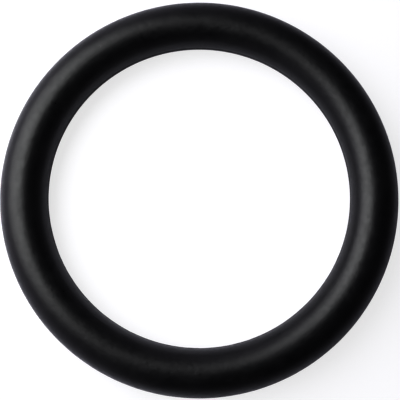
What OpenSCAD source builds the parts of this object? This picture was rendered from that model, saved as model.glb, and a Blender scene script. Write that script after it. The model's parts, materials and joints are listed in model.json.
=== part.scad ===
// Rubber o-ring: one endless moulded ring of round section.
// It lies flat. The origin is the ring's centre, on the plane where the two
// halves of its mould meet, and +Z is the ring's axis.

/* [Ring] */
// Inside diameter, the bare opening between the walls of the round section
inside_d = 32; // [20:0.5:60]
// Diameter of the round section
section_d = 5; // [3:0.1:9]

/* [Mould parting line] */
// Width of the trimmed flash, along the ring's axis
flash_w = 0.2; // [0.1:0.02:0.4]
// How far the trimmed flash stands proud of the section, inside the ring
flash_inner_h = 0.05; // [0.02:0.01:0.15]
// How far the trimmed flash stands proud of the section, outside the ring
flash_outer_h = 0.05; // [0.02:0.01:0.15]

/* [Hidden] */
// Facets to a full circle
$fn = 192;
section_r = section_d / 2;
// Radius of the circle that the section's centre follows
centre_r = inside_d / 2 + section_r;
rubber_black = [0.07, 0.07, 0.08];

// The flash lies right across the section on the parting plane and stands just
// past its skin on both sides, where trimming leaves a narrow cylindrical land.
module flash_outline() {
    translate([-(section_r + flash_inner_h), -flash_w / 2])
        square([section_d + flash_inner_h + flash_outer_h, flash_w]);
}

module section_outline() {
    circle(r = section_r);
    flash_outline();
}

module o_ring() {
    color(rubber_black)
        rotate_extrude()
            translate([centre_r, 0])
                section_outline();
}

o_ring();
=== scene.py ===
import json
import math
import bpy
import numpy as np
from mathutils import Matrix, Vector


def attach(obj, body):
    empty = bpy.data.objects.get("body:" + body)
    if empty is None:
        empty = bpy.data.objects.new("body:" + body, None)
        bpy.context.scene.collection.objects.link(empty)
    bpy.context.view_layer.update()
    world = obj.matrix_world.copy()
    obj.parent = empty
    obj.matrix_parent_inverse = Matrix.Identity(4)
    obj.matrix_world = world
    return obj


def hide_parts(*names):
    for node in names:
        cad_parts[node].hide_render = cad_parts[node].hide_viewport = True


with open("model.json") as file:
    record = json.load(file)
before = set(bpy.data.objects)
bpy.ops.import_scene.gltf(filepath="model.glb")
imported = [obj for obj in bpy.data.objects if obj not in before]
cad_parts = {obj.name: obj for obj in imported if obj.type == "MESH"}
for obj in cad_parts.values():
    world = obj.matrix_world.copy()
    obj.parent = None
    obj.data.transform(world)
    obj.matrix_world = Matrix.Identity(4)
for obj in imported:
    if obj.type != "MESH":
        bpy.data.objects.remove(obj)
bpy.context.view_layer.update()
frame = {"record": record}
print("frame loaded")

mounts = {mount["name"]: mount for mount in frame["record"]["mounts"]}
innerLand = mounts["inner_seat"]["dims"]["r_mm"] / 1000
outerLand = mounts["outer_seat"]["dims"]["r_mm"] / 1000
landWidth = mounts["outer_seat"]["dims"]["length_mm"] / 1000
meanRadius = (innerLand + outerLand) / 2  # from the ring's axis to the middle of its section


ringValues = {
    "flashHeight": 0.00005,  # how far the trimmed flash stands proud, at most
    "trimDepth": 0.55,       # share of that height that the trimming takes away in places
    "lineWander": 0.000012,  # how far the parting line strays up and down
    # each ragged line: its fewest and most waves round the ring, and how fast they weaken
    "outerTrim": (3, 190, 0.55),
    "innerTrim": (3, 150, 0.55),
    "wanderWaves": (1, 12, 0.8),
    "flatness": 8,           # the higher, the flatter the top of the flash and the steeper its sides
    "stepsAround": 780,
    "stepsAcrossSkin": 46,   # for each half of the skin, top and bottom
    "stepsAcrossFlash": 14,  # for each of the two flash lines
    "flashSpan": 1.7,        # how far those steps reach, in half widths of the land
    "seed": 7,
}


def raggedLine(angles, waveRange, rng):
    # sum of cos(wave * angle + random phase) / wave^slope over whole waves round the ring, brought to -1..1
    fewest, most, slope = waveRange
    waves = np.arange(fewest, most)[:, None]
    phases = rng.uniform(0, 2 * np.pi, waves.shape)
    line = (np.cos(waves * angles + phases) / waves**slope).sum(axis=0)
    return line / np.abs(line).max()


def sectionAngles(values, skinRadius, halfLand):
    # angles round the section from the outside: close together across each flash line, even over the skin
    edge = math.asin(values["flashSpan"] * halfLand / skinRadius)
    flash = np.linspace(-edge, edge, values["stepsAcrossFlash"], endpoint=False)
    skin = np.linspace(edge, np.pi - edge, values["stepsAcrossSkin"], endpoint=False)
    return np.concatenate([flash, skin, flash + np.pi, skin + np.pi])


def ringSurface(values):
    # point(around, across) = a circle carried round the axis, with a narrow flat-topped ridge on its equator:
    # out = mean radius + r cos(across) +- ridge height / (1 + (z / half width)^flatness), up = r sin(across)
    rng = np.random.default_rng(values["seed"])
    skinRadius = (outerLand - innerLand) / 2 - values["flashHeight"]
    halfLand = landWidth / 2
    around = np.linspace(0, 2 * np.pi, values["stepsAround"], endpoint=False)
    across = sectionAngles(values, skinRadius, halfLand)
    height = skinRadius * np.sin(across)[None, :]
    side = np.sign(np.cos(across))[None, :]
    trimOuter = 0.5 + 0.5 * raggedLine(around, values["outerTrim"], rng)
    trimInner = 0.5 + 0.5 * raggedLine(around, values["innerTrim"], rng)
    trim = np.where(side > 0, trimOuter[:, None], trimInner[:, None])
    wander = values["lineWander"] * raggedLine(around, values["wanderWaves"], rng)[:, None]
    ridge = 1 / (1 + ((height - wander) / halfLand) ** values["flatness"])
    proud = values["flashHeight"] * (1 - values["trimDepth"] * trim) * ridge
    out = meanRadius + skinRadius * np.cos(across)[None, :] + side * proud
    points = np.stack([
        out * np.cos(around)[:, None],
        out * np.sin(around)[:, None],
        np.broadcast_to(height, out.shape),
    ], axis=-1)
    lay = np.stack(np.broadcast_arrays(
        np.cos(around)[:, None], np.sin(around)[:, None], np.cos(across)[None, :]), axis=-1)
    return points, lay, np.broadcast_to(np.sin(across)[None, :], out.shape), ridge


def wrappedGrid(points):
    # quads of a grid that closes on itself both ways, wound so that the faces look outwards
    rows, columns = points.shape[:2]
    i, j = np.meshgrid(np.arange(rows), np.arange(columns), indexing="ij")
    nextI, nextJ = (i + 1) % rows, (j + 1) % columns
    corners = [i * columns + j, nextI * columns + j, nextI * columns + nextJ, i * columns + nextJ]
    return np.stack(corners, axis=-1).reshape(-1, 4)


def meshPiece(name, points, faces):
    mesh = bpy.data.meshes.new(name)
    mesh.vertices.add(points.size // 3)
    mesh.vertices.foreach_set("co", points.astype(np.float32).ravel())
    mesh.loops.add(faces.size)
    mesh.loops.foreach_set("vertex_index", faces.astype(np.int32).ravel())
    mesh.polygons.add(len(faces))
    mesh.polygons.foreach_set("loop_start", np.arange(0, faces.size, faces.shape[1], dtype=np.int32))
    mesh.update(calc_edges=True)
    mesh.polygons.foreach_set("use_smooth", np.ones(len(faces), bool))
    piece = bpy.data.objects.new(name, mesh)
    bpy.context.scene.collection.objects.link(piece)
    return piece


def addAttribute(piece, name, kind, data):
    attribute = piece.data.attributes.new(name, kind, "POINT")
    field = "vector" if kind == "FLOAT_VECTOR" else "value"
    attribute.data.foreach_set(field, data.astype(np.float32).ravel())


ringPoints, ringLay, ringAcross, ringRidge = ringSurface(ringValues)
ring = meshPiece("ring", ringPoints, wrappedGrid(ringPoints))
# where each point lies: round the ring and across the section as unit circles, and 1 on the trimmed flash
addAttribute(ring, "lay", "FLOAT_VECTOR", ringLay)
addAttribute(ring, "across", "FLOAT", ringAcross)
addAttribute(ring, "trimmed", "FLOAT", np.broadcast_to(ringRidge, ringAcross.shape))
print("ring modelled:", len(ring.data.polygons), "quads")


rubberValues = {
    "black": (0.0076, 0.0076, 0.0090, 1),  # the moulded skin
    "bloom": (0.0106, 0.0106, 0.0119, 1),  # where the rubber's wax has come to the surface
    "bloomRange": (0.35, 0.7),             # the mottle's values from which it starts and at which it is full
    "cut": (0.022, 0.022, 0.023, 1),       # the trimmed flash, where the rubber was torn
    "cutRoughness": 0.62,
    "gloss": 0.365,                        # roughness of the skin
    "mottleGloss": 0.14,                   # how much that varies over a few millimetres
    "grainGloss": 0.30,                    # and how much it varies from grain to grain
    # noises: features per mm, levels of finer detail, and the strength of each level
    "mottle": (0.55, 4, 0.6),
    "grain": (2.0, 2, 0.6),                # satin grain that the etched wall of the mould leaves
    "turned": (0.6, 0.9, 0.4),             # turns both, so that no row of their cells lies level
    "grainDepth": 0.000016,                # metres
    # marks: length along the ring and width across it in mm, and depth in metres
    "turning": (2.2, 0.25, 0.000006),      # long ones, from turning the mould
    "wiping": (0.3, 1.2, 0.000006),        # short ones across, from wiping the mould and the ring
    "markDetail": (3, 0.6),
}


def node(tree, kind, **settings):
    made = tree.nodes.new(kind)
    for key, value in settings.items():
        setattr(made, key, value)
    return made


def noise(tree, vector, scale, detail, roughness, w=None):
    made = node(tree, "ShaderNodeTexNoise", noise_dimensions="4D" if w else "3D")
    made.inputs["Scale"].default_value = scale
    made.inputs["Detail"].default_value = detail
    made.inputs["Roughness"].default_value = roughness
    tree.links.new(vector, made.inputs["Vector"])
    if w:
        tree.links.new(w, made.inputs["W"])
    return made.outputs["Fac"]


def scaled(tree, vector, scale, turn=(0, 0, 0)):
    made = node(tree, "ShaderNodeMapping")
    made.inputs["Scale"].default_value = scale
    made.inputs["Rotation"].default_value = turn
    tree.links.new(vector, made.inputs["Vector"])
    return made.outputs["Vector"]


def calculate(tree, operation, *terms):
    made = node(tree, "ShaderNodeMath", operation=operation)
    for socket, term in zip(made.inputs, terms):
        if isinstance(term, (int, float)):
            socket.default_value = term
        else:
            tree.links.new(term, socket)
    return made.outputs["Value"]


def addUp(tree, total, *shares):
    # total + value * factor, for each pair of value and factor
    for value, factor in shares:
        total = calculate(tree, "MULTIPLY_ADD", value, factor, total)
    return total


def remap(tree, value, low, high):
    # low..high brought to 0..1, and held there
    made = node(tree, "ShaderNodeMapRange")
    made.inputs["From Min"].default_value = low
    made.inputs["From Max"].default_value = high
    tree.links.new(value, made.inputs["Value"])
    return made.outputs["Result"]


def mixColors(tree, share, first, second):
    made = node(tree, "ShaderNodeMix", data_type="RGBA")
    tree.links.new(share, made.inputs["Factor"])
    for socket, color in ((made.inputs["A"], first), (made.inputs["B"], second)):
        if isinstance(color, tuple):
            socket.default_value = color
        else:
            tree.links.new(color, socket)
    return made.outputs["Result"]


def mixValues(tree, share, first, second):
    made = node(tree, "ShaderNodeMix", data_type="FLOAT")
    tree.links.new(share, made.inputs["Factor"])
    tree.links.new(first, made.inputs["A"])
    made.inputs["B"].default_value = second
    return made.outputs["Result"]


def marksOnRing(tree, lengthAlong, widthAcross, detail):
    # noise that is even in the ring's own two directions: features lengthAlong mm by widthAcross mm
    perTurn = meanRadius * 1000 / lengthAlong
    perSection = (outerLand - innerLand) / 2 * 1000 / widthAcross
    lay = node(tree, "ShaderNodeAttribute", attribute_name="lay").outputs["Vector"]
    across = node(tree, "ShaderNodeAttribute", attribute_name="across").outputs["Fac"]
    spread = scaled(tree, lay, (perTurn, perTurn, perSection))
    return noise(tree, spread, 1, *detail, w=calculate(tree, "MULTIPLY", across, perSection))


def mouldedRubber(values):
    # satin black skin: a soft mottle of bloom, the mould's grain, and faint marks along and across the ring
    material = bpy.data.materials.new("mouldedRubber")
    material.use_nodes = True
    tree = material.node_tree
    shader = tree.nodes["Principled BSDF"]
    place = node(tree, "ShaderNodeTexCoord").outputs["Object"]
    inMm = scaled(tree, place, (1000, 1000, 1000), values["turned"])
    trimmed = node(tree, "ShaderNodeAttribute", attribute_name="trimmed").outputs["Fac"]

    mottle = noise(tree, inMm, *values["mottle"])
    grain = noise(tree, inMm, *values["grain"])
    color = mixColors(tree, remap(tree, mottle, *values["bloomRange"]), values["black"], values["bloom"])
    color = mixColors(tree, trimmed, color, values["cut"])
    tree.links.new(color, shader.inputs["Base Color"])

    # both noises lie round 0.5, so half of each share is taken off first
    middle = values["gloss"] - (values["mottleGloss"] + values["grainGloss"]) / 2
    gloss = addUp(tree, middle, (mottle, values["mottleGloss"]), (grain, values["grainGloss"]))
    tree.links.new(mixValues(tree, trimmed, gloss, values["cutRoughness"]), shader.inputs["Roughness"])

    heights = [(grain, values["grainDepth"])]
    for length, width, depth in (values["turning"], values["wiping"]):
        heights.append((marksOnRing(tree, length, width, values["markDetail"]), depth))
    skin = node(tree, "ShaderNodeBump")
    skin.inputs["Distance"].default_value = 1  # the heights are in metres already
    tree.links.new(addUp(tree, 0, *heights), skin.inputs["Height"])
    tree.links.new(skin.outputs["Normal"], shader.inputs["Normal"])
    return material


ring.data.materials.append(mouldedRubber(rubberValues))
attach(ring, "root")
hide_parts("o_ring")
print("rubber done")


tableValues = {
    "halfSize": 3.0,
    "paper": (0.86, 0.85, 0.93, 1),  # what the ring mirrors and is lit by
    "gloss": 0.35,                   # roughness of the smooth white paper
    "shine": 0.69,                   # and how strongly its surface mirrors
    "white": 1.05,                   # the even white that the camera sees in its place
    "whiteShare": 0.78,              # and how far it covers the paper and the shadow on it
}


def paleTable(values):
    # smooth white paper: the camera sees it lifted towards an even white, and the ring mirrors it plain
    half = values["halfSize"]
    corners = np.array([(-half, -half, 0), (half, -half, 0), (half, half, 0), (-half, half, 0)], float)
    corners[:, 2] = ringPoints[..., 2].min()
    table = meshPiece("table", corners, np.array([[0, 1, 2, 3]]))
    material = bpy.data.materials.new("paleTable")
    material.use_nodes = True
    tree = material.node_tree
    paper = tree.nodes["Principled BSDF"]
    paper.inputs["Base Color"].default_value = values["paper"]
    paper.inputs["Roughness"].default_value = values["gloss"]
    paper.inputs["Specular IOR Level"].default_value = values["shine"]
    white = node(tree, "ShaderNodeEmission")
    white.inputs["Strength"].default_value = values["white"]
    direct = node(tree, "ShaderNodeLightPath").outputs["Is Camera Ray"]
    lifted = node(tree, "ShaderNodeMixShader")
    tree.links.new(calculate(tree, "MULTIPLY", direct, values["whiteShare"]), lifted.inputs["Fac"])
    tree.links.new(paper.outputs["BSDF"], lifted.inputs[1])
    tree.links.new(white.outputs["Emission"], lifted.inputs[2])
    tree.links.new(lifted.outputs["Shader"], tree.nodes["Material Output"].inputs["Surface"])
    table.data.materials.append(material)


softboxValues = {
    "distance": 0.099,  # from the ring's centre
    "bearing": 158,     # degrees from +X towards +Y
    "color": (0.986, 1.0, 0.985),
    # a bright middle and a wide edge: degrees off the vertical, half angle seen from the ring, and radiance
    "discs": [(36.6, 20.4, 2.31), (41, 33.5, 3.51)],
}


def softbox(values):
    bearing = math.radians(values["bearing"])
    for index, (tilt, halfAngle, radiance) in enumerate(values["discs"]):
        side, up = math.sin(math.radians(tilt)), math.cos(math.radians(tilt))
        toLight = Vector((side * math.cos(bearing), side * math.sin(bearing), up))
        radius = values["distance"] * math.tan(math.radians(halfAngle))
        light = bpy.data.lights.new("softbox", "AREA")
        light.shape = "DISK"
        light.size = 2 * radius
        light.color = values["color"]
        light.energy = radiance * math.pi * math.pi * radius**2  # watts = radiance * pi * area
        lamp = bpy.data.objects.new(f"softbox_{index}", light)
        lamp.location = toLight * values["distance"]
        lamp.rotation_euler = (-toLight).to_track_quat("-Z", "Y").to_euler()
        lamp.visible_camera = False
        bpy.context.scene.collection.objects.link(lamp)


roomValues = {
    "backdrop": (0.912, 0.908, 0.926, 1),  # what the camera sees behind the table
    "color": (1.02, 0.98, 1.12, 1),        # of the light that the room gives
    "middle": 0.08,    # brightness of the room halfway between the softbox's side and the other
    "slope": 0.88,     # how much brighter it gets towards the softbox's side, and darker away from it
    "horizon": 0.47,   # the pale wall that stands low all round
    "wallFade": 4,     # how soon that wall ends upwards
}


def studioRoom(values, bearing):
    # light from the room = middle + slope * the direction's share towards the softbox's side, never below 0,
    # + horizon * (1 - share of the direction that points up or down) ^ wallFade
    world = bpy.data.worlds.new("studioRoom")
    world.use_nodes = True
    bpy.context.scene.world = world
    tree = world.node_tree
    direction = node(tree, "ShaderNodeTexCoord").outputs["Generated"]
    slope = values["slope"]
    towards = node(tree, "ShaderNodeVectorMath", operation="DOT_PRODUCT")
    towards.inputs[1].default_value = (slope * math.cos(bearing), slope * math.sin(bearing), 0)
    tree.links.new(direction, towards.inputs[0])
    room = calculate(tree, "MAXIMUM", calculate(tree, "ADD", towards.outputs["Value"], values["middle"]), 0)
    apart = node(tree, "ShaderNodeSeparateXYZ")
    tree.links.new(direction, apart.inputs["Vector"])
    level = calculate(tree, "SUBTRACT", 1, calculate(tree, "ABSOLUTE", apart.outputs["Z"]))
    wall = addUp(tree, room, (calculate(tree, "POWER", level, values["wallFade"]), values["horizon"]))
    unseen = tree.nodes["Background"]
    unseen.inputs["Color"].default_value = values["color"]
    tree.links.new(wall, unseen.inputs["Strength"])
    seen = node(tree, "ShaderNodeBackground")
    seen.inputs["Color"].default_value = values["backdrop"]
    either = node(tree, "ShaderNodeMixShader")
    tree.links.new(node(tree, "ShaderNodeLightPath").outputs["Is Camera Ray"], either.inputs["Fac"])
    tree.links.new(unseen.outputs["Background"], either.inputs[1])
    tree.links.new(seen.outputs["Background"], either.inputs[2])
    tree.links.new(either.outputs["Shader"], tree.nodes["World Output"].inputs["Surface"])


cameraValues = {
    "distance": 4.4,     # in mean radii of the ring
    "elevation": 82.64,  # degrees above the table
    "lens": 69.18,
    "sensor": 36,
    "aim": (0.000075, -0.00054, 0),
    "nearest": 0.005,    # nothing nearer than this is drawn
}


def lookDown(values):
    camera = bpy.data.objects.new("camera", bpy.data.cameras.new("camera"))
    bpy.context.scene.collection.objects.link(camera)
    elevation = math.radians(values["elevation"])
    reach = values["distance"] * meanRadius
    camera.location = (0, -reach * math.cos(elevation), reach * math.sin(elevation))
    camera.rotation_euler = (Vector(values["aim"]) - camera.location).to_track_quat("-Z", "Y").to_euler()
    camera.data.lens = values["lens"]
    camera.data.sensor_width = values["sensor"]
    camera.data.clip_start = values["nearest"]
    bpy.context.scene.camera = camera


viewValues = {
    "transform": "Standard",
    "contrast": 1.6,  # more than 1 is a contrasty print: whites stay and blacks go deep
}


def printContrasty(values):
    view = bpy.context.scene.view_settings
    view.view_transform = values["transform"]
    view.gamma = 1 / values["contrast"]


paleTable(tableValues)
print("table laid")
softbox(softboxValues)
studioRoom(roomValues, math.radians(softboxValues["bearing"]))
print("light set")
lookDown(cameraValues)
printContrasty(viewValues)
print("camera set")
